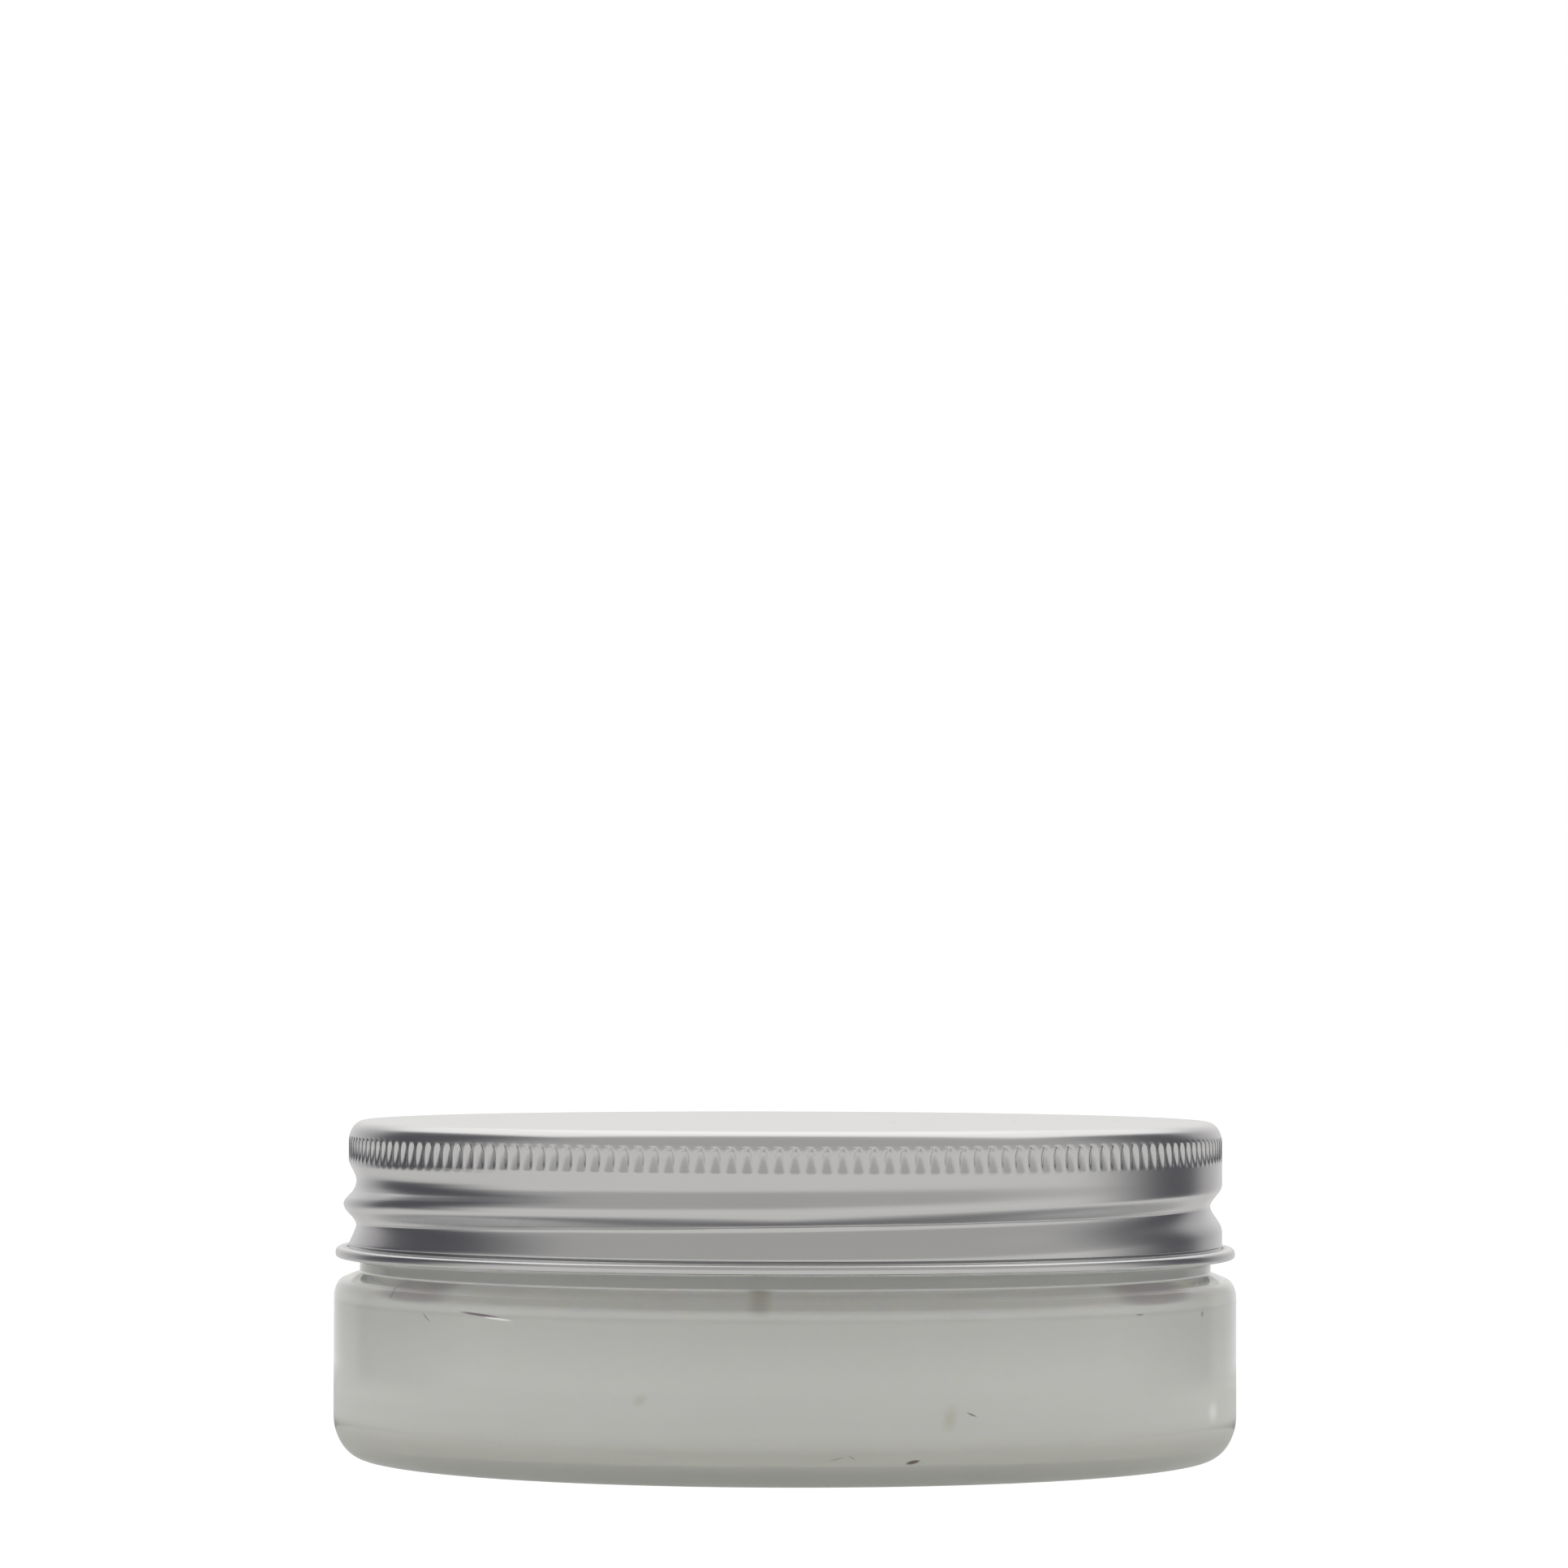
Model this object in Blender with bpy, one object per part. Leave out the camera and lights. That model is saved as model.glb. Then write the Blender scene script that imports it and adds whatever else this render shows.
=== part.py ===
"""Low wide screw jar of clear PET, full of cream, under a rolled aluminium screw cap.

Metres, +Z up. The origin is on the jar's axis, on the surface that the jar stands on, and the photographed side
faces -Y. The jar is one moulding, the cap is one sheet, and a foam liner seals the rim.
"""

import math

import bmesh
import bpy

# Jar body
JAR_DIAMETER = 0.0880
JAR_HEIGHT = 0.03064
BODY_HEIGHT = 0.01798
WALL = 0.0015
FLOOR = 0.0016
FOOT_ROUND_WIDTH = 0.0031
FOOT_ROUND_HEIGHT = 0.0043
STANDING_RING_WIDTH = 0.0012
PUSH_UP = 0.0008
PUSH_UP_SLOPE_WIDTH = 0.0016
GATE_NUB_RADIUS = 0.0016
GATE_NUB_DROP = 0.0004
SHOULDER_FALL = 0.00048
SHOULDER_ROUND_WIDTH = 0.00115
SHOULDER_ROUND_HEIGHT = 0.0019
INNER_FOOT_ROUND = 0.0018
INNER_SHOULDER_ROUND = 0.0012
THROAT_ROUND = 0.0012

# Jar neck and its thread: the neck stands in from the body's side by the shoulder's width
SHOULDER_WIDTH = 0.0029
NECK_WALL = 0.0019
NECK_RING_WIDTH = 0.0004
NECK_RING_HEIGHT = 0.0009
RIM_ROUND = 0.0005
THREAD_PITCH = 0.004233
THREAD_HEIGHT = 0.0010
THREAD_FOOT_WIDTH = 0.0020
THREAD_CREST_WIDTH = 0.0006
THREAD_TURNS = 1.5
THREAD_BELOW_RIM = 0.0026
THREAD_RUNOUT_SHARE = 0.06
THREAD_SINK = 0.0005

# Cap, one sheet: it reaches down to a gap above the jar's shoulder
SHEET = 0.00028
SKIRT_GAP = 0.00116
CORNER_WIDTH = 0.0015
CORNER_HEIGHT = 0.00205
KNURLS = 183
KNURL_UPPER_DEPTH = 0.0002
KNURL_LOWER_DEPTH = 0.0004
KNURL_BELOW_TOP = 0.00142
KNURL_LENGTH = 0.00254
KNURL_END = 0.0004
CURL_DIAMETER = 0.00152
CURL_SWEEP = math.radians(300)
CREST_GAP = 0.00023
ROOT_GAP = 0.0003

# Thread rolled into the cap's wall: where the groove starts, and how it fades in and out
GROOVE_START_ANGLE = math.radians(30)
GROOVE_ABOVE_CURL = 0.00088
GROOVE_BELOW_KNURLS = 0.00105
GROOVE_HALF_WIDTH = 0.0019
GROOVE_FADE_IN_SHARE = 0.30
GROOVE_FADE_OUT_SHARE = 0.25
BULGE_HEIGHT = 0.00045
BULGE_HALF_WIDTH = 0.00135
BULGE_END_SHARE = 0.92
BULGE_FADE_SHARE = 0.50

# Liner and cream
LINER_THICKNESS = 0.0012
LINER_EDGE_ROUND = 0.0002
SEAT_GAP = 0.0003
CREAM_GAP = 0.0003
HEADSPACE = 0.0062
CREAM_EDGE_ROUND = 0.0010
CREAM_DISH = 0.0005

# Fineness of the meshes
JAR_POINTS = 72
CREAM_POINTS = 48
KNURLS_PER_CAP_SIDE = 3
CAP_POINTS = KNURLS // KNURLS_PER_CAP_SIDE
ROUND_STEPS = 4
SMALL_ROUND_STEPS = 2
THREAD_ROWS = 13
CURL_STEPS = 7
SMOOTH_ANGLE = math.radians(32)

# Levels and radii worked out from the sizes above
JAR_RADIUS = JAR_DIAMETER / 2
NECK_RADIUS = JAR_RADIUS - SHOULDER_WIDTH
MOUTH_RADIUS = NECK_RADIUS - NECK_WALL
FLOOR_LEVEL = PUSH_UP + FLOOR
SHOULDER_LEVEL = BODY_HEIGHT - SHOULDER_FALL
CEILING_LEVEL = SHOULDER_LEVEL - WALL
FILL_LEVEL = JAR_HEIGHT - HEADSPACE
LINER_LEVEL = JAR_HEIGHT + SEAT_GAP
CAP_CEILING = LINER_LEVEL + LINER_THICKNESS + SEAT_GAP
CAP_TOP = CAP_CEILING + SHEET
CAP_INNER_RADIUS = NECK_RADIUS + THREAD_HEIGHT + CREST_GAP
CAP_RADIUS = CAP_INNER_RADIUS + SHEET
CURL_RADIUS = CURL_DIAMETER / 2
CURL_LEVEL = BODY_HEIGHT + SKIRT_GAP + CURL_RADIUS
CURL_CENTRE_RADIUS = CAP_INNER_RADIUS + CURL_RADIUS
KNURL_TOP = CAP_TOP - KNURL_BELOW_TOP
KNURL_BOTTOM = KNURL_TOP - KNURL_LENGTH
GROOVE_DEPTH = THREAD_HEIGHT + CREST_GAP - ROOT_GAP
GROOVE_START_LEVEL = CURL_LEVEL + GROOVE_ABOVE_CURL
GROOVE_TURNS = (KNURL_BOTTOM - GROOVE_BELOW_KNURLS - GROOVE_START_LEVEL) / THREAD_PITCH
GROOVE_TO_RIDGE = THREAD_PITCH / 2


def clear_scene():
    for item in list(bpy.data.objects):
        bpy.data.objects.remove(item, do_unlink=True)


def arc(centre, radii, start, end, steps):
    """Points (radius, height) of an elliptical arc, from one angle to another in degrees."""
    points = []
    for step in range(steps + 1):
        angle = math.radians(start + (end - start) * step / steps)
        points.append((centre[0] + radii[0] * math.cos(angle), centre[1] + radii[1] * math.sin(angle)))
    return points


def smooth_step(share):
    """0 below 0, 1 above 1, and a smooth rise between them."""
    held = min(max(share, 0.0), 1.0)
    return held * held * (3 - 2 * held)


def hill(distance, half_width):
    """A rounded hill of height 1 that ends half_width to either side."""
    if abs(distance) >= half_width:
        return 0.0
    return (1 + math.cos(math.pi * distance / half_width)) / 2


def ring(bm, point, count):
    """A ring of points round the axis. The point's radius is a number or a function of the angle."""
    radius, height = point
    verts = []
    for index in range(count):
        angle = math.tau * index / count
        reach = radius(angle) if callable(radius) else radius
        verts.append(bm.verts.new((reach * math.cos(angle), reach * math.sin(angle), height)))
    return verts


def bridge(bm, first, second):
    """Faces between two rings. One may have a whole number of times the points of the other."""
    if len(first) > len(second):
        fine, coarse = first, second
    else:
        fine, coarse = second, first
    ratio = len(fine) // len(coarse)
    for index, corner in enumerate(coarse):
        following = coarse[(index + 1) % len(coarse)]
        if ratio == 1:
            bm.faces.new((corner, following, fine[(index + 1) % len(fine)], fine[index]))
            continue
        middle = ratio // 2
        for step in range(ratio):
            here = fine[(index * ratio + step) % len(fine)]
            there = fine[(index * ratio + step + 1) % len(fine)]
            bm.faces.new((corner if step < middle else following, there, here))
        bm.faces.new((corner, following, fine[(index * ratio + middle) % len(fine)]))


def close(bm, loop, height):
    """A fan of faces from a ring to a point on the axis."""
    pole = bm.verts.new((0, 0, height))
    for index, vert in enumerate(loop):
        bm.faces.new((vert, loop[(index + 1) % len(loop)], pole))


def turned(name, profile, count, material):
    """A solid turned from a profile whose first and last points are on the axis.

    A point is (radius, height) or (radius, height, count) where its ring is finer than the others.
    """
    bm = bmesh.new()
    rings = [ring(bm, point[:2], point[2] if len(point) > 2 else count) for point in profile[1:-1]]
    for first, second in zip(rings, rings[1:]):
        bridge(bm, first, second)
    close(bm, rings[0], profile[0][1])
    close(bm, rings[-1], profile[-1][1])
    bmesh.ops.recalc_face_normals(bm, faces=bm.faces)
    return finished(name, bm, material)


def finished(name, bm, material):
    mesh = bpy.data.meshes.new(name)
    bm.to_mesh(mesh)
    bm.free()
    mesh.shade_smooth()
    mesh.set_sharp_from_angle(angle=SMOOTH_ANGLE)
    mesh.materials.append(material)
    item = bpy.data.objects.new(name, mesh)
    bpy.context.collection.objects.link(item)
    return item


def finish_of(name, colour, roughness, metallic=0.0, transmission=0.0, ior=1.5):
    material = bpy.data.materials.new(name)
    material.use_nodes = True
    shader = material.node_tree.nodes["Principled BSDF"]
    shader.inputs["Base Color"].default_value = (*colour, 1)
    shader.inputs["Roughness"].default_value = roughness
    shader.inputs["Metallic"].default_value = metallic
    shader.inputs["Transmission Weight"].default_value = transmission
    shader.inputs["IOR"].default_value = ior
    return material


def cavity_profile(gap):
    """The jar's inside from the middle of its floor up to the throat, set in by a gap."""
    inner = JAR_RADIUS - WALL
    foot = INNER_FOOT_ROUND - gap
    shoulder = INNER_SHOULDER_ROUND - gap
    throat = THROAT_ROUND + gap
    return [
        (0, FLOOR_LEVEL + gap),
        *arc((inner - INNER_FOOT_ROUND, FLOOR_LEVEL + INNER_FOOT_ROUND), (foot, foot), -90, 0, ROUND_STEPS),
        *arc(
            (inner - INNER_SHOULDER_ROUND, CEILING_LEVEL - INNER_SHOULDER_ROUND),
            (shoulder, shoulder), 0, 90, ROUND_STEPS - 1,
        ),
        *arc((MOUTH_RADIUS + THROAT_ROUND, CEILING_LEVEL + THROAT_ROUND), (throat, throat), -90, -180, ROUND_STEPS - 1),
    ]


def jar_profile():
    """Up the inside, over the rim, down the outside and under the floor to the gate nub."""
    rim = RIM_ROUND
    ring_radius = NECK_RADIUS + NECK_RING_WIDTH
    ring_top = BODY_HEIGHT + NECK_RING_HEIGHT
    stand_outer = JAR_RADIUS - FOOT_ROUND_WIDTH
    stand_inner = stand_outer - STANDING_RING_WIDTH
    return [
        *cavity_profile(0),
        *arc((MOUTH_RADIUS + rim, JAR_HEIGHT - rim), (rim, rim), 180, 90, SMALL_ROUND_STEPS),
        *arc((NECK_RADIUS - rim, JAR_HEIGHT - rim), (rim, rim), 90, 0, SMALL_ROUND_STEPS),
        (NECK_RADIUS, ring_top + NECK_RING_WIDTH),
        (ring_radius, ring_top),
        (ring_radius, BODY_HEIGHT),
        *arc(
            (JAR_RADIUS - SHOULDER_ROUND_WIDTH, SHOULDER_LEVEL - SHOULDER_ROUND_HEIGHT),
            (SHOULDER_ROUND_WIDTH, SHOULDER_ROUND_HEIGHT), 90, 0, ROUND_STEPS,
        ),
        *arc((stand_outer, FOOT_ROUND_HEIGHT), (FOOT_ROUND_WIDTH, FOOT_ROUND_HEIGHT), 0, -90, ROUND_STEPS + 1),
        (stand_inner, 0),
        (stand_inner - PUSH_UP_SLOPE_WIDTH, PUSH_UP),
        (GATE_NUB_RADIUS, PUSH_UP),
        (0, PUSH_UP - GATE_NUB_DROP),
    ]


def groove_level(turn):
    """Height of the rolled groove's middle, so many turns after its start."""
    return GROOVE_START_LEVEL + THREAD_PITCH * turn


def groove_strength(turn):
    """Share of its full depth that the rolled groove has, so many turns after its start."""
    return smooth_step(turn / GROOVE_FADE_IN_SHARE) * smooth_step((GROOVE_TURNS - turn) / GROOVE_FADE_OUT_SHARE)


def bulge_strength(turn):
    """Share of its full height that the ridge above the groove has, so many turns after the groove's start."""
    return smooth_step(turn / GROOVE_FADE_IN_SHARE) * smooth_step((BULGE_END_SHARE - turn) / BULGE_FADE_SHARE)


def wall_shift(angle, height):
    """How far the rolled thread moves the cap's wall outwards at an angle and a height."""
    shift = 0.0
    first_turn = ((angle - GROOVE_START_ANGLE) % math.tau) / math.tau
    for lap in range(math.ceil(GROOVE_TURNS) + 1):
        turn = first_turn + lap
        below = height - groove_level(turn)
        shift -= GROOVE_DEPTH * groove_strength(turn) * hill(below, GROOVE_HALF_WIDTH)
        shift += BULGE_HEIGHT * bulge_strength(turn) * hill(below - GROOVE_TO_RIDGE, BULGE_HALF_WIDTH)
    return shift


def rolled_wall(radius, rows):
    """Rows of the threaded wall from the knurls down to the curl, at a plain radius."""
    points = []
    for row in range(1, rows):
        height = KNURL_BOTTOM + (CURL_LEVEL + GROOVE_ABOVE_CURL - KNURL_BOTTOM) * row / rows
        points.append((lambda angle, height=height: radius + wall_shift(angle, height), height))
    return points


def knurled(plain_radius, height, depth):
    """A ring of rounded knurls: crests on the plain radius, with a flute pressed in between each two."""
    def radius(angle):
        return plain_radius - depth * (1 - math.cos(KNURLS * angle)) / 2
    return radius, height, 2 * KNURLS


def knurl_band(plain_radius):
    """The knurls from top to bottom on one face of the sheet: the flutes are shallow above and deep below."""
    return [
        knurled(plain_radius, KNURL_TOP - KNURL_END, KNURL_UPPER_DEPTH),
        knurled(plain_radius, KNURL_BOTTOM + KNURL_END, KNURL_LOWER_DEPTH),
        (plain_radius, KNURL_BOTTOM),
    ]


def cap_profile():
    """Down the outside of the sheet, round the curl, and back up the inside."""
    corner = (CAP_RADIUS - CORNER_WIDTH, CAP_TOP - CORNER_HEIGHT)
    knurl_angle = math.degrees(math.asin((KNURL_TOP - corner[1]) / CORNER_HEIGHT))
    curl_centre = (CURL_CENTRE_RADIUS, CURL_LEVEL)
    hollow = CURL_RADIUS - SHEET
    turned_to = 180 + math.degrees(CURL_SWEEP)
    return [
        (0, CAP_TOP),
        *arc(corner, (CORNER_WIDTH, CORNER_HEIGHT), 90, knurl_angle, ROUND_STEPS),
        *knurl_band(CAP_RADIUS),
        *rolled_wall(CAP_RADIUS, THREAD_ROWS),
        (CAP_RADIUS, CURL_LEVEL + hollow),
        *arc(curl_centre, (hollow, hollow), 180, turned_to, CURL_STEPS),
        *arc(curl_centre, (CURL_RADIUS, CURL_RADIUS), turned_to, 180, CURL_STEPS),
        *reversed(rolled_wall(CAP_INNER_RADIUS, THREAD_ROWS)),
        *reversed(knurl_band(CAP_INNER_RADIUS)),
        *arc(corner, (CORNER_WIDTH - SHEET, CORNER_HEIGHT - SHEET), knurl_angle, 90, ROUND_STEPS),
        (0, CAP_CEILING),
    ]


def liner_profile():
    radius = CAP_RADIUS - CORNER_WIDTH - SEAT_GAP
    edge = LINER_EDGE_ROUND
    top = LINER_LEVEL + LINER_THICKNESS
    return [
        (0, top),
        *arc((radius - edge, top - edge), (edge, edge), 90, 0, 1),
        *arc((radius - edge, LINER_LEVEL + edge), (edge, edge), 0, -90, 1),
        (0, LINER_LEVEL),
    ]


def cream_profile():
    radius = MOUTH_RADIUS - CREAM_GAP
    edge = CREAM_EDGE_ROUND
    return [
        *cavity_profile(CREAM_GAP),
        *arc((radius - edge, FILL_LEVEL - edge), (edge, edge), 0, 90, SMALL_ROUND_STEPS),
        (0, FILL_LEVEL - CREAM_DISH),
    ]


def thread_section(angle, level, strength):
    """Four corners of the neck's thread at an angle: its foot is sunk in the neck, and its crest is narrower.

    At no strength the crest is sunk too, half as deep as the foot, so the thread runs out into the neck.
    """
    foot, crest = THREAD_FOOT_WIDTH / 2, THREAD_CREST_WIDTH / 2
    inner = NECK_RADIUS - THREAD_SINK
    outer = NECK_RADIUS - THREAD_SINK / 2 + (THREAD_HEIGHT + THREAD_SINK / 2) * strength
    corners = ((inner, -foot), (outer, -crest), (outer, crest), (inner, foot))
    return [(r * math.cos(angle), r * math.sin(angle), level + rise) for r, rise in corners]


def thread_ridge():
    """The neck's thread as a band swept up its helix, half a pitch above the groove in the cap."""
    top_level = JAR_HEIGHT - THREAD_BELOW_RIM
    top_turn = (top_level - GROOVE_TO_RIDGE - GROOVE_START_LEVEL) / THREAD_PITCH
    steps = round(JAR_POINTS * THREAD_TURNS)
    bm = bmesh.new()
    sections = []
    for step in range(steps + 1):
        share = step / steps
        turn = top_turn - THREAD_TURNS * (1 - share)
        strength = smooth_step(share / THREAD_RUNOUT_SHARE) * smooth_step((1 - share) / THREAD_RUNOUT_SHARE)
        angle = GROOVE_START_ANGLE + math.tau * turn
        corners = thread_section(angle, groove_level(turn) + GROOVE_TO_RIDGE, strength)
        sections.append([bm.verts.new(corner) for corner in corners])
    for first, second in zip(sections, sections[1:]):
        for side in range(len(first)):
            beside = (side + 1) % len(first)
            bm.faces.new((first[side], first[beside], second[beside], second[side]))
    bm.faces.new(sections[0])
    bm.faces.new(sections[-1])
    bmesh.ops.recalc_face_normals(bm, faces=bm.faces)
    return bm


def add_thread(jar, material):
    """Joins the thread's band to the jar, and leaves the band out of the build."""
    band = finished("thread_band", thread_ridge(), material)
    band.hide_render = True
    band.display_type = "WIRE"
    join = jar.modifiers.new("thread", "BOOLEAN")
    join.operation = "UNION"
    join.solver = "EXACT"
    join.object = band


def build():
    clear_scene()
    clear_pet = finish_of("clear_pet", (0.93, 0.95, 0.94), 0.04, transmission=1.0, ior=1.575)
    aluminium = finish_of("satin_aluminium", (0.78, 0.78, 0.77), 0.3, metallic=1.0)
    foam = finish_of("liner_foam", (0.86, 0.86, 0.84), 0.8)
    cream = finish_of("cream", (0.74, 0.75, 0.69), 0.45)
    jar = turned("jar_body", jar_profile(), JAR_POINTS, clear_pet)
    add_thread(jar, clear_pet)
    turned("cream_fill", cream_profile(), CREAM_POINTS, cream)
    turned("cap_liner", liner_profile(), JAR_POINTS, foam)
    turned("cap_shell", cap_profile(), CAP_POINTS, aluminium)


build()
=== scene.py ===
"""Looks of a low wide screw jar of clear PET, full of cream, under a rolled aluminium screw cap.

Metres, +Z up, photographed side towards -Y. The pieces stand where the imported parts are, and a surface of
revolution is a profile of (radius, height) points carried round the jar's axis.
"""

import math

import bpy
import numpy as np
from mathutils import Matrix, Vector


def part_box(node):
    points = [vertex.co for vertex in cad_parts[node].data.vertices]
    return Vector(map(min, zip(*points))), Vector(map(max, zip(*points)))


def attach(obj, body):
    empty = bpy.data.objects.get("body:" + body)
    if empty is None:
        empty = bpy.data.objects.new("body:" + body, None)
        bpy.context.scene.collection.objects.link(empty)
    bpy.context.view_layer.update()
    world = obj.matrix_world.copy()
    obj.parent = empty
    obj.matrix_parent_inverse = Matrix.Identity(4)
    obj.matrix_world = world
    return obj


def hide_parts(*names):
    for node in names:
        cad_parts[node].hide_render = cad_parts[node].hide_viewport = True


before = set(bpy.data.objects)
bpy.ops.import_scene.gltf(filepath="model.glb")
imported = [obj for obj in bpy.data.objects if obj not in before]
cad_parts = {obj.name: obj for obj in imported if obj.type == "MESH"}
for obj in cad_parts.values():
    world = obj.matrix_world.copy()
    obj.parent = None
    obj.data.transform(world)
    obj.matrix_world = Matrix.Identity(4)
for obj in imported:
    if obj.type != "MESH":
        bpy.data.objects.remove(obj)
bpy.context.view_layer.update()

MM = 0.001

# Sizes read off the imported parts
JAR_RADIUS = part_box("jar_body")[1].x
RIM_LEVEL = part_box("jar_body")[1].z
CURL_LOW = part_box("cap_shell")[0].z
CAP_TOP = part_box("cap_shell")[1].z
LINER_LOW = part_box("cap_liner")[0].z
LINER_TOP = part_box("cap_liner")[1].z
LINER_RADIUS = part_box("cap_liner")[1].x
FILL_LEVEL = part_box("cream_fill")[1].z

# Jar body
BODY_HEIGHT = 17.98 * MM
WALL = 1.5 * MM
FLOOR = 1.6 * MM
FOOT_ROUND = (3.1 * MM, 4.3 * MM)
STANDING_RING_WIDTH = 1.2 * MM
STANDING_EDGE_ROUND = 0.2 * MM
PUSH_UP = 0.8 * MM
PUSH_UP_SLOPE = 1.6 * MM
GATE_NUB_RADIUS = 1.6 * MM
GATE_NUB_DROP = 0.4 * MM
SHOULDER_FALL = 0.48 * MM
SHOULDER_ROUND = (1.15 * MM, 1.9 * MM)
INNER_FOOT_ROUND = 1.8 * MM
INNER_SHOULDER_ROUND = 1.2 * MM
THROAT_ROUND = 1.2 * MM

# Neck, and the thread round it
NECK_RADIUS = JAR_RADIUS - 2.9 * MM
NECK_WALL = 1.9 * MM
NECK_RING = (0.4 * MM, 0.9 * MM)
NECK_FILLET = 0.3 * MM
RIM_ROUND = 0.5 * MM
THREAD_PITCH = 4.233 * MM
THREAD_HEIGHT = 1.0 * MM
THREAD_FOOT = 1.0 * MM
THREAD_CREST = 0.3 * MM
THREAD_TURNS = 1.5
THREAD_BELOW_RIM = 2.6 * MM
THREAD_RUNOUT_TURNS = 0.09

# Cap sheet, from the top down
SHEET = 0.28 * MM
CAP_RADIUS = NECK_RADIUS + 1.51 * MM
CORNER = (1.5 * MM, 2.05 * MM)
KNURLS = 183
KNURL_PHASE = math.radians(269.2)
KNURL_TOP = CAP_TOP - 1.42 * MM
KNURL_BOTTOM = KNURL_TOP - 2.54 * MM
KNURL_DEPTH = 0.30 * MM
# Shares of a knurl's pitch: half its floor at the top and at the bottom, and half of one side
KNURL_HALF_SHARES = (0.23, 0.31)
KNURL_SIDE_SHARE = 0.15
# Shares of its height: the arch, and the drop below it
KNURL_ARCH_SHARE = 0.14
KNURL_TOP_SHARE = 0.22
KNURL_RAMP_POWER = 1.7
# The curl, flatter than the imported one: an arc under its face, one over it, and the crease above them
CURL_UNDER = (0.76 * MM, 0.30 * MM)
CURL_OVER = (0.55 * MM, 0.52 * MM)
CURL_FACE = 0.3 * MM
CURL_TIP = CAP_RADIUS - SHEET + 2 * CURL_UNDER[0]
CURL_LEVEL = CURL_LOW + 0.56 * MM
CURL_TOP = CURL_LEVEL + CURL_FACE + CURL_OVER[1]
CURL_END_GAP = 0.12 * MM
CREASE_LEVEL = CURL_TOP + 0.13 * MM
CREASE_HALF_WIDTH = 0.13 * MM
CREASE_DEPTH = 0.30 * MM
CREASE_FADE = 0.6

# Thread rolled into the cap's wall: a groove that climbs to the right, with the land above it pushed out.
# Each list has a size at each of the turns from the groove's start: the start, left, left of the front,
# front, right, left again, left of the front again, and the end. For the groove: its depth, how far its
# bottom drops below the even climb, its reach above and below the bottom, its flat floor, and the shares of a
# straight cone below and of a ledge above. For the land: its height, its reach above and below its crest, and
# how far the crest rises over the groove's bottom.
GROOVE_START = math.radians(30)
GROOVE_START_LEVEL = CURL_LOW + 1.64 * MM
GROOVE_AT_TURNS = (0.0, 0.417, 0.5, 0.667, 0.917, 1.417, 1.583, 1.75)
GROOVE_DEPTHS = (0.0, 0.74 * MM, 0.83 * MM, 1.02 * MM, 1.17 * MM, 0.80 * MM, 0.28 * MM, 0.0)
GROOVE_DROPS = (0.0, 0.0, 0.0, 0.0, 0.0, -0.12 * MM, 0.45 * MM, 0.75 * MM)
GROOVE_ABOVE = (1.5 * MM, 1.5 * MM, 1.53 * MM, 1.6 * MM, 2.05 * MM, 2.1 * MM, 2.1 * MM, 2.1 * MM)
GROOVE_BELOW = (1.9 * MM, 1.9 * MM, 2.22 * MM, 2.85 * MM, 2.5 * MM, 2.3 * MM, 1.8 * MM, 1.8 * MM)
GROOVE_FLOOR = (0.0, 0.0, 0.1 * MM, 0.3 * MM, 0.0, 0.0, 0.0, 0.0)
GROOVE_CONE_SHARES = (1.0, 1.0, 1.0, 1.0, 0.0, 0.0, 0.0, 0.0)
GROOVE_STEP_SHARES = (0.0, 0.0, 0.33, 1.0, 0.0, 0.0, 0.0, 0.0)
GROOVE_ROUND = 0.3 * MM
LEDGE_SHARE = 0.7
LEDGE_REACH = 0.07
LEDGE_POWER = 3
BULGE_HEIGHTS = (0.0, 0.50 * MM, 0.43 * MM, 0.28 * MM, 0.0, 0.0, 0.0, 0.0)
BULGE_ABOVE = (1.35 * MM, 1.35 * MM, 1.5 * MM, 1.85 * MM, 1.85 * MM, 1.85 * MM, 1.85 * MM, 1.85 * MM)
BULGE_BELOW = (1.35 * MM, 1.35 * MM, 1.77 * MM, 2.6 * MM, 1.35 * MM, 1.35 * MM, 1.35 * MM, 1.35 * MM)
BULGE_RISE = (2.05 * MM, 2.05 * MM, 2.35 * MM, 1.9 * MM, 1.9 * MM, 1.9 * MM, 1.9 * MM, 1.9 * MM)

# Cream and liner
WETTING = 0.05 * MM
CREAM_EDGE = 1.0 * MM
CREAM_DISH = 0.9 * MM
SWIRL_RIDGE = 0.22 * MM
SWIRL_PITCH = 9.0 * MM
RIM_PRINT = 0.15 * MM
WAD_EDGE_ROUND = 0.25 * MM

# Fineness of the meshes. The cap's wall has so many steps between the knurls, each of the levels and the
# curl, and its rows follow the groove for a share of a turn either side of the front.
COLUMNS_PER_KNURL = 12
COARSE_CAP_COLUMNS = 2 * KNURLS
WALL_LEVELS = (25.3 * MM, 24.2 * MM, 23.3 * MM, CREASE_LEVEL + CREASE_HALF_WIDTH)
WALL_STEPS = (10, 10, 14, 9, 8)
ROW_FOLLOWS = 0.3
ROW_RETURN = ROW_FOLLOWS / (0.5 - ROW_FOLLOWS)
ROW_FADE = 2.4 * MM
JAR_COLUMNS = 360

# Camera, fitted to the photograph's outline: its angles are in radians, and its sensor in millimetres
CAMERA_DISTANCE = 682.2 * MM
CAMERA_HEIGHT = 48.58 * MM
CAMERA_PITCH = 0.025
CAMERA_ROLL = -0.0025
CAMERA_ASIDE = -0.19 * MM
PHOTO_SIDE = 1932
FOCAL_PIXELS = 8590
SENSOR = 36.0

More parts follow.
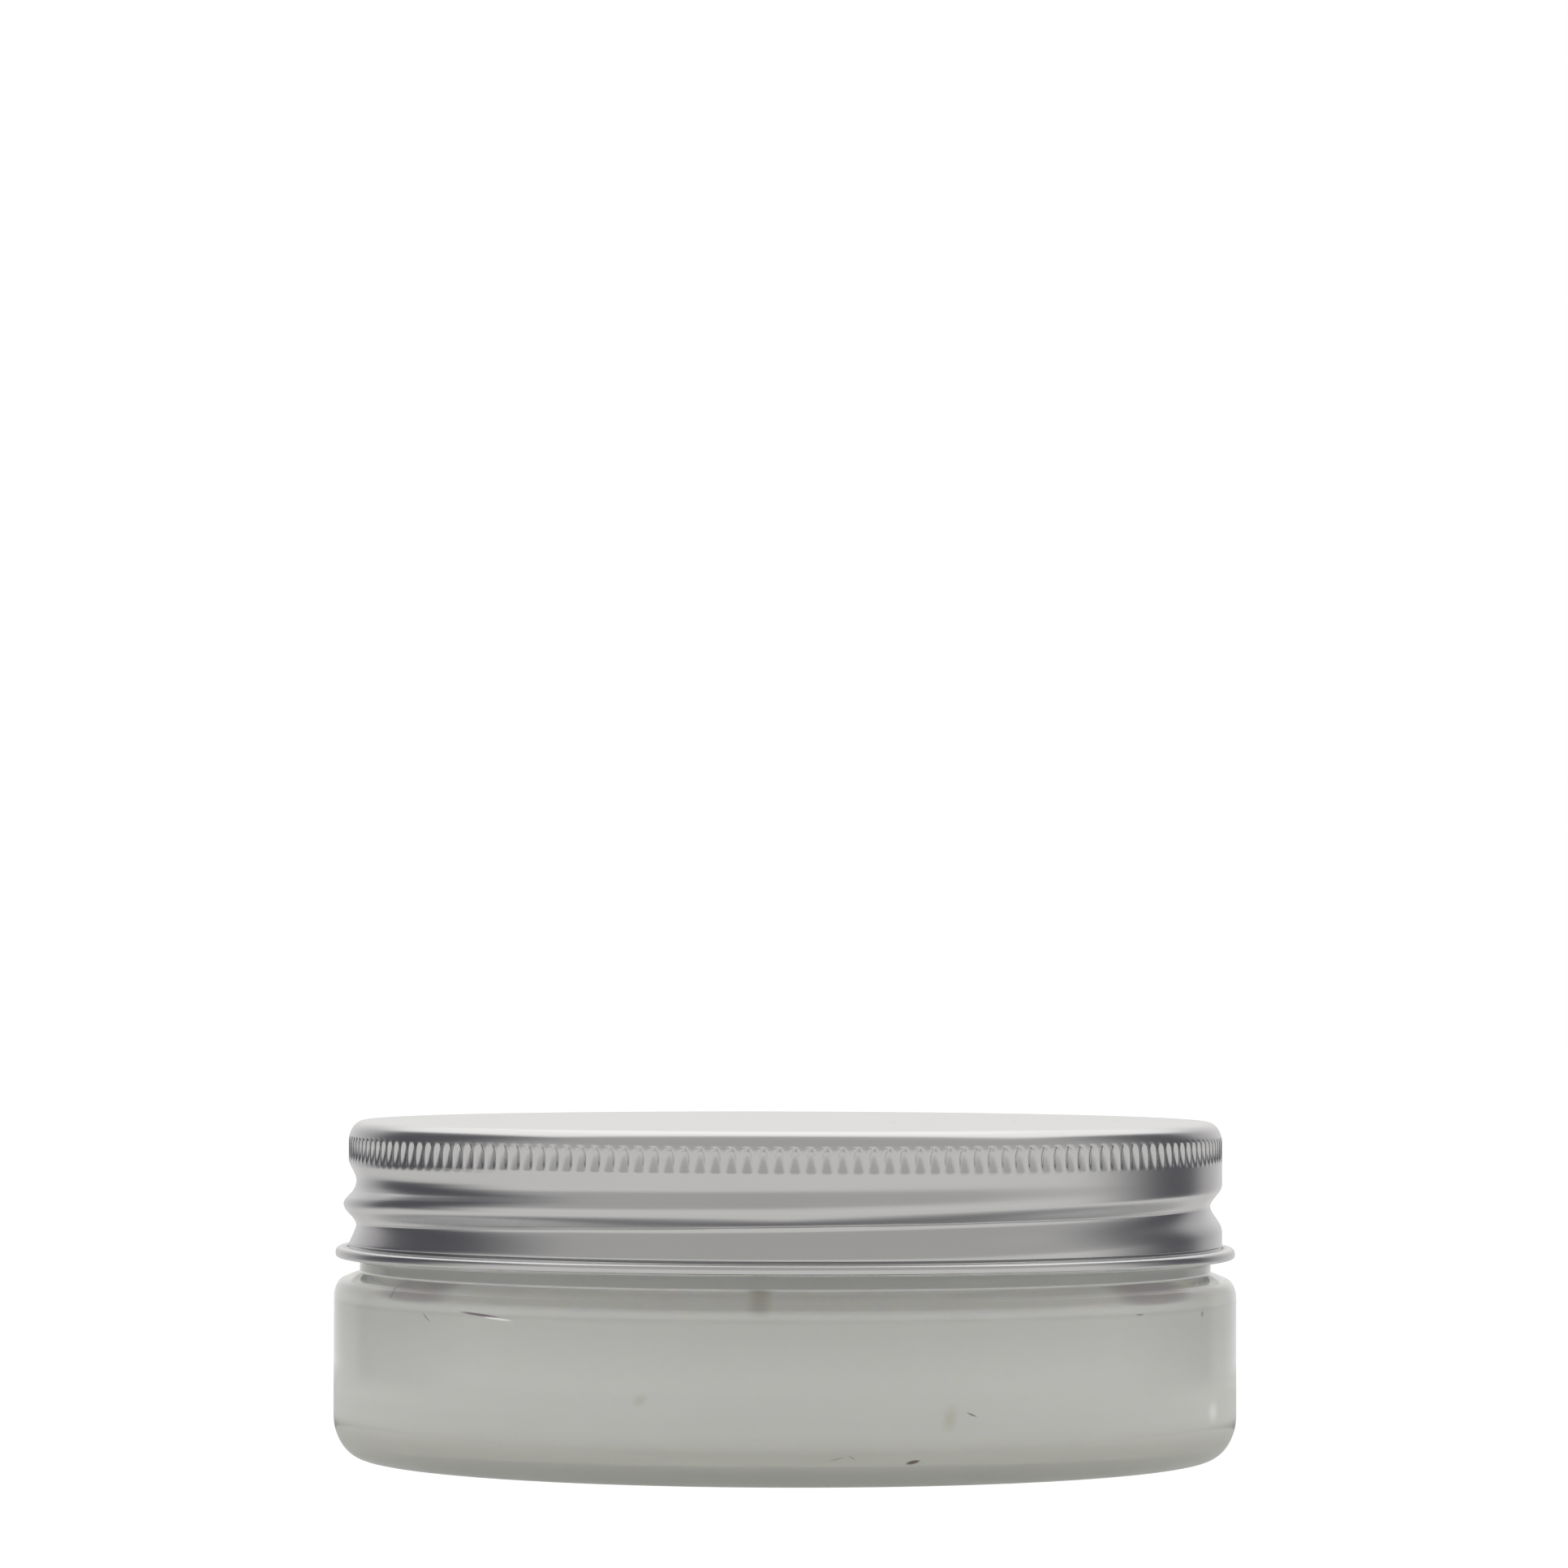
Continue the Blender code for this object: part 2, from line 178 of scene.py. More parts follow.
# Finishes: the sizes of their patterns and the depths of their bumps
METAL_CLOUD = 9 * MM
METAL_GRAIN = 0.25 * MM
METAL_GRAIN_DEPTH = 0.004 * MM
METAL_ROUGHNESS = (0.22, 0.28)
DUST_SPACING = 7 * MM
DUST_CELL_SHARES = (0.03, 0.05)
DUST_REACH = 0.4 * MM
PET_FLOW = 14 * MM
PET_FLOW_DEPTH = 0.05 * MM
PET_HAZE = (0.01, 0.03)
CREAM_CLOUD = 11 * MM
CREAM_CLOUD_SHARE = 0.3
CREAM_BUBBLE = 1.2 * MM
CREAM_BUBBLE_DEPTH = 0.05 * MM
CREAM_LIGHT_DEPTH = 3 * MM
FOAM_CELL = 0.5 * MM
FOAM_CELL_DEPTH = 0.1 * MM

# Cream tones up the jar, painted light and shade: painted shade darkens the foot and the neck, and little
# light reaches the shoulder's cream, so that its tone is painted the palest
CREAM_PAINTED_LIGHT_AND_SHADE = (
    (1.8 * MM, "#B6B6B3"),
    (2.6 * MM, "#BCBCB9"),
    (3.2 * MM, "#C3C3C0"),
    (3.8 * MM, "#CDCDCB"),
    (5.0 * MM, "#D5D5D4"),
    (9.5 * MM, "#D6D6D5"),
    (13.0 * MM, "#CFCFCE"),
    (15.3 * MM, "#C9C9C8"),
    (16.0 * MM, "#FEFEFD"),
    (17.5 * MM, "#FEFEFD"),
    (18.0 * MM, "#BEBEBC"),
)
CREAM_TONE_SPAN = 20 * MM

# Marks on the cream where air or a smear lies against the plastic. An air pocket is a painted shadow over a
# painted highlight, and two dim patches at the shoulder are painted reflections. Degrees round from the
# front, height, half length, half width, lean in degrees, the share of the reach where the mark starts to
# fade, strength, colour
CREAM_MARKS_AND_PAINTED_LIGHT = (
    # Painted shadow: the dark line of an air pocket against the plastic
    (-41.2, 15.34 * MM, 3.2 * MM, 0.15 * MM, -4, 0.4, 1.0, "#7C6F78"),
    # Painted highlight: the air pocket's bright underside
    (-38.2, 15.03 * MM, 2.1 * MM, 0.13 * MM, -4, 0.4, 1.0, "#FFFFFF"),
    (-60.2, 16.02 * MM, 0.3 * MM, 0.09 * MM, 0, 0.3, 0.9, "#7C7276"),
    (-51.0, 14.84 * MM, 0.9 * MM, 0.12 * MM, -35, 0.3, 0.8, "#84797E"),
    # Painted reflections: two dim patches at the shoulder, left and right
    (-55.5, 16.08 * MM, 8.0 * MM, 0.30 * MM, 0, 0.3, 0.9, "#D0CCD0"),
    (55.5, 16.08 * MM, 8.0 * MM, 0.30 * MM, 0, 0.4, 0.9, "#D0CCD0"),
    (-3.4, 16.90 * MM, 1.9 * MM, 1.5 * MM, -20, 0.0, 0.8, "#ABAA98"),
    (-18.0, 8.00 * MM, 1.1 * MM, 0.7 * MM, 25, 0.0, 0.6, "#BFBFB2"),
    (16.1, 2.62 * MM, 0.80 * MM, 0.17 * MM, 8, 0.5, 1.0, "#5A4F38"),
    (23.5, 6.65 * MM, 0.7 * MM, 0.11 * MM, -22, 0.3, 1.0, "#7F7A78"),
    (20.6, 6.30 * MM, 1.0 * MM, 1.7 * MM, -12, 0.0, 0.6, "#BDBDAE"),
    (6.4, 2.90 * MM, 0.9 * MM, 0.10 * MM, 12, 0.3, 0.7, "#98978F"),
    (8.3, 3.00 * MM, 0.6 * MM, 0.10 * MM, -25, 0.3, 0.7, "#98978F"),
    (50.2, 15.25 * MM, 0.8 * MM, 0.12 * MM, 0, 0.3, 0.8, "#8A8184"),
    (65.6, 14.85 * MM, 0.4 * MM, 0.42 * MM, 0, 0.2, 0.8, "#847C80"),
    (69.5, 5.40 * MM, 1.9 * MM, 1.4 * MM, 0, 0.0, 0.6, "#FFFFFF"),
)

# Studio: angles in degrees where a tone starts to change and where it has changed. The panels' start is so
# many degrees nearer the front at the left, and further back at the right. Upwards it leans by a share of the
# rise, forward at the left and back at the right.
FRONT_DIMS = (3, 14)
PANEL_START = (77, 115)
PANEL_SKEW = 3
PANEL_LEAN = 0.12
PANEL_LEAN_SKEW = 0.28
PANEL_END = (133, 143)
REAR_BRIGHTENS = (141, 174)
CANOPY_FRONT = (5, 11)
CANOPY_SIDE = (41, 46)
CANOPY_REAR = (52, 72)
CANOPY_SPREAD = 0.27
THROUGH_WALL_SIDE = (0, 150)
THROUGH_WALL_LIGHT = (0.72, 2.3)
FLOOR_THROUGH_WALL = 2.5
THROUGH_WALL_OVERHEAD = 0.35
OVERHEAD_RISE_SINES = (0.05, 0.7)
# Painted light and shade on the floor, seen in reflections and by light through the clear wall: where each
# starts and ends
SHADE_REACH = (50 * MM, 85 * MM)
SHEET_ENDS = (120 * MM, 180 * MM)
FOOT_SHADE_REACH = (43 * MM, 58 * MM)
FOOT_GLOW_REACH = (46 * MM, 51 * MM)
FOOT_GLOW_SQUEEZE = (0.8, 1.0, 1.0)
FLOOR_REACH = 3.0
FLOOR_LEVEL = -0.02 * MM
FLOOR_SEEN = 1.06
SOFTBOX_SIZE = (0.8, 0.6)
SOFTBOX_PLACE = (0, 0.45, 0.9)
SOFTBOX_WATTS = 0.15


def smooth_step(share):
    """0 below 0, 1 above 1, and 3s^2 - 2s^3 between them."""
    held = np.clip(share, 0, 1)
    return held * held * (3 - 2 * held)


def hill(distance, half_width):
    """A rounded hill of height 1: half of 1 plus the cosine of the distance, out to the half width."""
    return (1 + np.cos(np.pi * np.clip(distance / half_width, -1, 1))) / 2


def arc(centre, radii, start, end, steps):
    """Points of an elliptical arc: the centre plus the radii times cosine and sine of an angle in degrees."""
    angle = np.radians(np.linspace(start, end, steps + 1))
    return np.stack([centre[0] + radii[0] * np.cos(angle), centre[1] + radii[1] * np.sin(angle)], axis=1)


def straight(start, end, steps):
    """Equal steps along a straight line between two points, both ends left out."""
    share = np.linspace(0, 1, steps + 1)[1:-1, None]
    return np.array(start) * (1 - share) + np.array(end) * share


def carried_round(profile, columns, phase=0.0, shift=None, climb=None):
    """The profile at every angle: radius times cosine and sine.

    climb(angle, height) adds to the height, and then shift(angle, height) adds to the radius.
    """
    angle = phase + np.arange(columns) * (math.tau / columns)
    radius, height = profile[:, :1], profile[:, 1:] + 0 * angle
    if climb is not None:
        height = height + climb(angle + 0 * height, height)
    if shift is not None:
        radius = radius + shift(angle + 0 * height, height)
    return np.stack([radius * np.cos(angle), radius * np.sin(angle), height], axis=2)


def band(first, second):
    """Faces between two rings of point numbers. One may have a whole number of times the other's points."""
    if len(first) < len(second):
        return [faces[:, ::-1] for faces in band(second, first)]
    ahead = np.roll(second, -1)
    if len(first) == len(second):
        return [np.stack([first, second, ahead, np.roll(first, -1)], axis=1)]
    share = len(first) // len(second)
    fans = np.stack([first, np.repeat(second, share), np.roll(first, -1)], axis=1)
    return [fans, np.stack([np.roll(first, -share)[::share], second, ahead], axis=1)]


def closed_skin(name, grids, first_pole, last_pole, finish):
    """A closed mesh over the rings of the grids, from one pole on the axis to the other.

    The rings run down the outside, so that the faces point outwards.
    """
    rings = [ring for grid in grids for ring in grid]
    points = np.concatenate([[(0, 0, first_pole)], *rings, [(0, 0, last_pole)]])
    starts = 1 + np.cumsum([0] + [len(ring) for ring in rings])
    numbers = [np.arange(start, end) for start, end in zip(starts, starts[1:])]
    top, bottom = numbers[0], numbers[-1]
    faces = [np.stack([0 * top, top, np.roll(top, -1)], axis=1)]
    for first, second in zip(numbers, numbers[1:]):
        faces += band(first, second)
    faces.append(np.stack([bottom, 0 * bottom + len(points) - 1, np.roll(bottom, -1)], axis=1))
    mesh = bpy.data.meshes.new(name)
    mesh.from_pydata(points, [], [face for group in faces for face in group.tolist()])
    mesh.shade_smooth()
    mesh.materials.append(finish)
    piece = bpy.data.objects.new(name, mesh)
    bpy.context.collection.objects.link(piece)
    return piece


def groove_level(turn):
    """Height of the rolled groove's bottom: its start plus a pitch for each turn."""
    return GROOVE_START_LEVEL + THREAD_PITCH * turn


def at_turn(turn, sizes):
    """A listed size of the groove at a turn, straight between the turns of the list."""
    return np.interp(turn, GROOVE_AT_TURNS, sizes)


def rolled_thread(angle, height):
    """Outward shift of the cap's wall, added up over the groove's laps.

    Above its bottom the groove comes out by a smooth step, mixed with a ledge: a thin smooth step first, and
    then the cube of the share that is left. Below its bottom it comes out along a straight cone with a
    rounded tip, mixed with half a hill. The land is a hill with a reach of its own on each side of its crest.
    """
    first_turn = ((angle - GROOVE_START) % math.tau) / math.tau
    shift = np.zeros_like(height)
    for lap in range(math.ceil(GROOVE_AT_TURNS[-1])):
        turn = first_turn + lap
        above = height - groove_level(turn) + at_turn(turn, GROOVE_DROPS)
        floor, below = at_turn(turn, GROOVE_FLOOR), at_turn(turn, GROOVE_BELOW)
        climb = np.clip((above - floor) / (at_turn(turn, GROOVE_ABOVE) - floor), 0, 1)
        step, cone = at_turn(turn, GROOVE_STEP_SHARES), at_turn(turn, GROOVE_CONE_SHARES)
        ledge = LEDGE_SHARE * smooth_step(1 - climb / LEDGE_REACH)
        ledge += (1 - LEDGE_SHARE) * (1 - climb) ** LEDGE_POWER
        upper = step * ledge + (1 - step) * (1 - smooth_step(climb))
        slant = (np.hypot(above, GROOVE_ROUND) - GROOVE_ROUND) / (below - GROOVE_ROUND)
        lower = cone * np.clip(1 - slant, 0, 1) + (1 - cone) * hill(above, below)
        shift -= at_turn(turn, GROOVE_DEPTHS) * np.where(above > 0, upper, lower)
        land = above - at_turn(turn, BULGE_RISE)
        width = np.where(land > 0, at_turn(turn, BULGE_ABOVE), at_turn(turn, BULGE_BELOW))
        shift += at_turn(turn, BULGE_HEIGHTS) * hill(land, width)
    return shift


def knurl_flutes(angle, height):
    """Inward shift of the knurls: a flat floor between two smooth sides, which spread on the way down.

    The floor drops in below an arch over the top share, and comes out along a ramp that steepens on the way
    down: 1 less a power of the share that is done.
    """
    across = np.abs((KNURLS * (angle - KNURL_PHASE) / math.tau + 0.5) % 1 - 0.5)
    down = np.clip((KNURL_TOP - height) / (KNURL_TOP - KNURL_BOTTOM), 0, 1)
    half = KNURL_HALF_SHARES[0] + (KNURL_HALF_SHARES[1] - KNURL_HALF_SHARES[0]) * down
    sides = smooth_step((half + KNURL_SIDE_SHARE - across) / (2 * KNURL_SIDE_SHARE))
    ramp = 1 - (np.clip(down - KNURL_TOP_SHARE, 0, 1) / (1 - KNURL_TOP_SHARE)) ** KNURL_RAMP_POWER
    drop = smooth_step((down - KNURL_ARCH_SHARE * (across / half) ** 2) / KNURL_TOP_SHARE)
    return -KNURL_DEPTH * drop * ramp * sides


def curl_crease(angle, height):
    """Inward shift of the wall: a hill above the curl, full at the front and gone at the sides and behind."""
    facing = smooth_step(-np.sin(angle) / CREASE_FADE)
    return -CREASE_DEPTH * facing * hill(height - CREASE_LEVEL, CREASE_HALF_WIDTH)


def cap_wall(angle, height):
    """Outward shift of the cap's sheet: the rolled thread's, the crease's and the knurls' together."""
    return rolled_thread(angle, height) + curl_crease(angle, height) + knurl_flutes(angle, height)


def along_groove(angle, height):
    """Lift of the wall's rows: with the groove round the front, and back down round the rear.

    The lift is the front's turn times the pitch, fading to nothing at the knurls and at the curl.
    """
    turn = (angle - math.radians(90)) % math.tau / math.tau - 0.5
    back = np.sign(turn) * (0.5 - np.abs(turn)) * ROW_RETURN
    lift = THREAD_PITCH * np.where(np.abs(turn) < ROW_FOLLOWS, turn, back)
    over_curl, under_knurls = (height - CURL_TOP) / ROW_FADE, (KNURL_BOTTOM - height) / ROW_FADE
    return lift * np.clip(over_curl, 0, 1) * np.clip(under_knurls, 0, 1)


def rows(levels, steps):
    """Heights from each level to the next in so many equal steps, the first and the last left out."""
    heights = [np.linspace(high, low, count + 1)[:-1] for high, low, count in zip(levels, levels[1:], steps)]
    return np.concatenate(heights)[1:]


def screw_cap(finish):
    """One sheet: the flat top, the corner, the knurls, the rolled wall, the curl, and back up the inside."""
    corner = (CAP_RADIUS - CORNER[0], CAP_TOP - CORNER[1])
    knurl_angle = math.degrees(math.asin((KNURL_TOP - corner[1]) / CORNER[1]))
    outside = np.concatenate([
        [(corner[0] / 2, CAP_TOP)],
        arc(corner, CORNER, 90, knurl_angle, 12),
    ])
    knurled = np.concatenate([
        arc(corner, CORNER, knurl_angle, 0, 3)[1:],
        straight((CAP_RADIUS, corner[1]), (CAP_RADIUS, KNURL_BOTTOM), 11),
        [(CAP_RADIUS, KNURL_BOTTOM)],
    ])
    heights = rows((KNURL_BOTTOM, *WALL_LEVELS, CURL_TOP), WALL_STEPS)
    wall = np.stack([0 * heights + CAP_RADIUS, heights], axis=1)
    under, over = np.array(CURL_UNDER), np.array(CURL_OVER)
    low, high = (CURL_TIP - under[0], CURL_LEVEL), (CURL_TIP - over[0], CURL_LEVEL + CURL_FACE)
    end = CAP_RADIUS + CURL_END_GAP
    rolled = np.concatenate([
        arc(low, under - SHEET, 180, 360, 7),
        arc(high, over - SHEET, 0, 90, 4),
        [(end, CURL_TOP - SHEET), (end, CURL_TOP)],
        arc(high, over, 90, 0, 8),
        arc(low, under, 360, 180, 12),
    ])
    inner = CAP_RADIUS - SHEET
    inside_wall = wall[::-1] - (SHEET, 0)
    inside = np.concatenate([
        [(inner, KNURL_BOTTOM)],
        straight((inner, KNURL_BOTTOM), (inner, KNURL_TOP), 8),
        arc(corner, (CORNER[0] - SHEET, CORNER[1] - SHEET), knurl_angle, 90, 6),
        [(corner[0] / 2, CAP_TOP - SHEET)],
    ])
    grids = [
        carried_round(outside, COARSE_CAP_COLUMNS, KNURL_PHASE),
        carried_round(knurled, COLUMNS_PER_KNURL * KNURLS, KNURL_PHASE, knurl_flutes),
        carried_round(wall, COARSE_CAP_COLUMNS, KNURL_PHASE, cap_wall, along_groove),
        carried_round(rolled, COARSE_CAP_COLUMNS, KNURL_PHASE),
        carried_round(inside_wall, COARSE_CAP_COLUMNS, KNURL_PHASE, cap_wall, along_groove),
        carried_round(inside, COARSE_CAP_COLUMNS, KNURL_PHASE, cap_wall),
    ]
    return closed_skin("screw_cap", grids, CAP_TOP, CAP_TOP - SHEET, finish)


def neck_thread(angle, height):
    """Outward shift of the neck: a rounded trapezium half a pitch above the cap's groove."""
    last_turn = (RIM_LEVEL - THREAD_BELOW_RIM - THREAD_PITCH / 2 - GROOVE_START_LEVEL) / THREAD_PITCH
    first_turn = last_turn - THREAD_TURNS
    here = ((angle - GROOVE_START) % math.tau) / math.tau
    shift = np.zeros_like(height)
    for lap in range(math.floor(first_turn), math.ceil(last_turn) + 1):
        turn = here + lap
        strength = smooth_step((turn - first_turn) / THREAD_RUNOUT_TURNS)
        strength = strength * smooth_step((last_turn - turn) / THREAD_RUNOUT_TURNS)
        away = np.abs(height - groove_level(turn) - THREAD_PITCH / 2)
        shift += THREAD_HEIGHT * strength * smooth_step((THREAD_FOOT - away) / (THREAD_FOOT - THREAD_CREST))
    return shift


def cavity(gap):
    """The jar's inside from the floor up to the throat, set in by a gap."""
    inner, mouth = JAR_RADIUS - WALL, NECK_RADIUS - NECK_WALL
    floor, ceiling = PUSH_UP + FLOOR, BODY_HEIGHT - SHOULDER_FALL - WALL
    foot, shoulder, throat = INNER_FOOT_ROUND, INNER_SHOULDER_ROUND, THROAT_ROUND
    return np.concatenate([
        [(inner / 2, floor + gap)],
        arc((inner - foot, floor + foot), (foot - gap,) * 2, -90, 0, 10),
        arc((inner - shoulder, ceiling - shoulder), (shoulder - gap,) * 2, 0, 90, 8),
        arc((mouth + throat, ceiling + throat), (throat + gap,) * 2, -90, -180, 8),
    ])


def clear_jar(finish):
    """Up the inside, over the rim, down the threaded neck, shoulder and side, and in under the floor."""
    mouth, rim = NECK_RADIUS - NECK_WALL, RIM_ROUND
    ring_radius, ring_top = NECK_RADIUS + NECK_RING[0], BODY_HEIGHT + NECK_RING[1]
    stand_outer = JAR_RADIUS - FOOT_ROUND[0]
    stand_inner = stand_outer - STANDING_RING_WIDTH
    shoulder = (JAR_RADIUS - SHOULDER_ROUND[0], BODY_HEIGHT - SHOULDER_FALL - SHOULDER_ROUND[1])
    upper = np.concatenate([
        cavity(0),
        arc((mouth + rim, RIM_LEVEL - rim), (rim, rim), 180, 90, 5),
        arc((NECK_RADIUS - rim, RIM_LEVEL - rim), (rim, rim), 90, 0, 5),
        straight((NECK_RADIUS, RIM_LEVEL - rim), (NECK_RADIUS, ring_top + NECK_RING[0]), 64),
    ])
    lower = np.concatenate([
        arc((NECK_RADIUS, ring_top), (NECK_RING[0],) * 2, 90, 0, 5),
        arc((ring_radius + NECK_FILLET, BODY_HEIGHT + NECK_FILLET), (NECK_FILLET,) * 2, 180, 262, 4),
        arc(shoulder, SHOULDER_ROUND, 78, 0, 12),
        arc((stand_outer, FOOT_ROUND[1]), FOOT_ROUND, 0, -90, 16),
        arc((stand_inner, STANDING_EDGE_ROUND), (STANDING_EDGE_ROUND,) * 2, -90, -120, 2),
        [(stand_inner - PUSH_UP_SLOPE, PUSH_UP)],
        arc((GATE_NUB_RADIUS, PUSH_UP), (GATE_NUB_DROP, GATE_NUB_DROP), 0, -90, 4),
    ])
    grids = [carried_round(upper, JAR_COLUMNS, shift=neck_thread), carried_round(lower, JAR_COLUMNS)]
    return closed_skin("clear_jar", grids, PUSH_UP + FLOOR, PUSH_UP - GATE_NUB_DROP, finish)


def cream(finish):
    """The cavity's own shape, pressed a hair into the plastic that it wets, under a top dished by a spatula.

    The dish rises with the square of the radius. The spatula's ridge is a cosine of the radius in pitches
    less the angle, so that it winds outwards, and it fades at the middle and at the edge.
    """
    radius = NECK_RADIUS - NECK_WALL + WETTING
    across = np.linspace(0, 1, 42)[1:-1] * (radius - CREAM_EDGE)
    top = np.stack([across, FILL_LEVEL - CREAM_DISH * (1 - (across / radius) ** 2)], axis=1)
    side = np.concatenate([
        arc((radius - CREAM_EDGE, FILL_LEVEL - CREAM_EDGE), (CREAM_EDGE,) * 2, 90, 0, 6),
        cavity(-WETTING)[::-1],
    ])
    grids = [carried_round(top, JAR_COLUMNS), carried_round(side, JAR_COLUMNS)]
    angle = np.arctan2(grids[0][..., 1], grids[0][..., 0])
    reach = np.hypot(grids[0][..., 0], grids[0][..., 1])
    fade = smooth_step(reach / SWIRL_PITCH) * smooth_step((radius - reach) / (3 * CREAM_EDGE))
    grids[0][..., 2] += SWIRL_RIDGE * fade * np.cos(math.tau * reach / SWIRL_PITCH - angle)
    return closed_skin("cream", grids, FILL_LEVEL - CREAM_DISH, PUSH_UP + FLOOR - WETTING, finish)


def foam_wad(finish):
    """A disc with rounded edges, its underside pressed in a little where the jar's rim meets it."""
    edge = WAD_EDGE_ROUND
    rim_middle = NECK_RADIUS - NECK_WALL / 2
    under = np.linspace(LINER_RADIUS - edge, LINER_RADIUS / 2, 40)
    dent = RIM_PRINT * hill(under - rim_middle, NECK_WALL)
    profile = np.concatenate([
        [(LINER_RADIUS / 2, LINER_TOP)],
        arc((LINER_RADIUS - edge, LINER_TOP - edge), (edge, edge), 90, 0, 4),
        arc((LINER_RADIUS - edge, LINER_LOW + edge), (edge, edge), 0, -90, 4)[:-1],
        np.stack([under, LINER_LOW + dent], axis=1),
    ])
    return closed_skin("foam_wad", [carried_round(profile, JAR_COLUMNS)], LINER_TOP, LINER_LOW, finish)


def paint(code):
    """The linear colour of an sRGB hex code."""
    shares = [int(code[start:start + 2], 16) / 255 for start in (1, 3, 5)]
    return [*(s / 12.92 if s <= 0.04045 else ((s + 0.055) / 1.055) ** 2.4 for s in shares), 1.0]


def add(tree, kind, inputs=None, **settings):
    """Adds a node with its settings, and sets or links its inputs: a value is set, and a socket is linked."""
    node = tree.nodes.new(kind)
    for name, value in settings.items():
        setattr(node, name, value)
    for name, value in (inputs or {}).items():
        if isinstance(value, bpy.types.NodeSocket):
            tree.links.new(value, node.inputs[name])
        else:
            node.inputs[name].default_value = value
    return node


def new_finish(name):
    """An empty material, with its node tree and the place of a piece's own points in metres."""
    material = bpy.data.materials.new(name)
    material.use_nodes = True
    tree = material.node_tree
    tree.nodes.clear()
    return material, tree, add(tree, "ShaderNodeTexCoord").outputs["Object"]


def satin_aluminium():
    """Aluminium sheet, rolled and lacquered clear: an even sheen, fine grain, faint clouds, a few specks, and
    painted shade along the crease above the curl.
    """
    material, tree, place = new_finish("satin_lacquered_aluminium_sheet")
    cloud, grain = (
        add(tree, "ShaderNodeTexNoise", {"Vector": place, "Scale": 1 / size, "Detail": detail}).outputs[0]
        for size, detail in ((METAL_CLOUD, 3.0), (METAL_GRAIN, 2.0))
    )
    dust = add(tree, "ShaderNodeTexVoronoi", {"Vector": place, "Scale": 1 / DUST_SPACING}).outputs["Distance"]
    dust = add(tree, "ShaderNodeMapRange", {
        "Value": dust, "From Min": DUST_CELL_SHARES[0], "From Max": DUST_CELL_SHARES[1],
    }).outputs[0]
    level = add(tree, "ShaderNodeSeparateXYZ", {0: place}).outputs[2]
    wall = add(tree, "ShaderNodeMath", {0: level, 1: CAP_TOP - DUST_REACH}, operation="LESS_THAN").outputs[0]
    dust = add(tree, "ShaderNodeMath", {0: dust, 1: wall}, operation="MAXIMUM").outputs[0]
    # Painted shade: a darker line round the cap at the crease's height, above the curl
    crease = add(tree, "ShaderNodeMath", {0: level, 1: CREASE_LEVEL}, operation="SUBTRACT").outputs[0]
    crease = add(tree, "ShaderNodeMath", {0: crease}, operation="ABSOLUTE").outputs[0]
    crease = add(tree, "ShaderNodeMapRange", {
        "Value": crease, "From Min": CREASE_HALF_WIDTH / 2, "From Max": CREASE_HALF_WIDTH,
    }).outputs[0]
    metal = paint("#F4F4F4")
    # The crease's tone is painted shade; the specks are dust on the top
    for share, tone in ((cloud, "#EFEFEF"), (dust, "#8C8987"), (crease, "#D0D0D2")):
        metal = add(tree, "ShaderNodeMix", {0: share, 6: paint(tone), 7: metal}, data_type="RGBA").outputs[2]
    rough = add(tree, "ShaderNodeMapRange", {
        "Value": cloud, "To Min": METAL_ROUGHNESS[0], "To Max": METAL_ROUGHNESS[1],
    }).outputs[0]
    bump = add(tree, "ShaderNodeBump", {
        "Height": grain, "Strength": 0.25, "Distance": METAL_GRAIN_DEPTH,
    }).outputs[0]
    shader = add(tree, "ShaderNodeBsdfPrincipled", {
        "Base Color": metal, "Metallic": 1.0, "Roughness": rough, "Normal": bump,
    })
    add(tree, "ShaderNodeOutputMaterial", {"Surface": shader.outputs[0]})
    return material


def clear_pet():
    """PET, injection moulded with thick walls: clear as glass, with long faint waves from its flow."""
    material, tree, place = new_finish("clear_moulded_pet")
    flow = add(tree, "ShaderNodeTexNoise", {"Vector": place, "Scale": 1 / PET_FLOW, "Detail": 1.0}).outputs[0]
    haze = add(tree, "ShaderNodeMapRange", {
        "Value": flow, "To Min": PET_HAZE[0], "To Max": PET_HAZE[1],
    }).outputs[0]
    bump = add(tree, "ShaderNodeBump", {
        "Height": flow, "Strength": 0.3, "Distance": PET_FLOW_DEPTH,
    }).outputs[0]
    shader = add(tree, "ShaderNodeBsdfPrincipled", {
        "Base Color": paint("#FBFCFA"), "Transmission Weight": 1.0, "IOR": 1.575,
        "Roughness": haze, "Normal": bump,
    })
    add(tree, "ShaderNodeOutputMaterial", {"Surface": shader.outputs[0]})
    return material


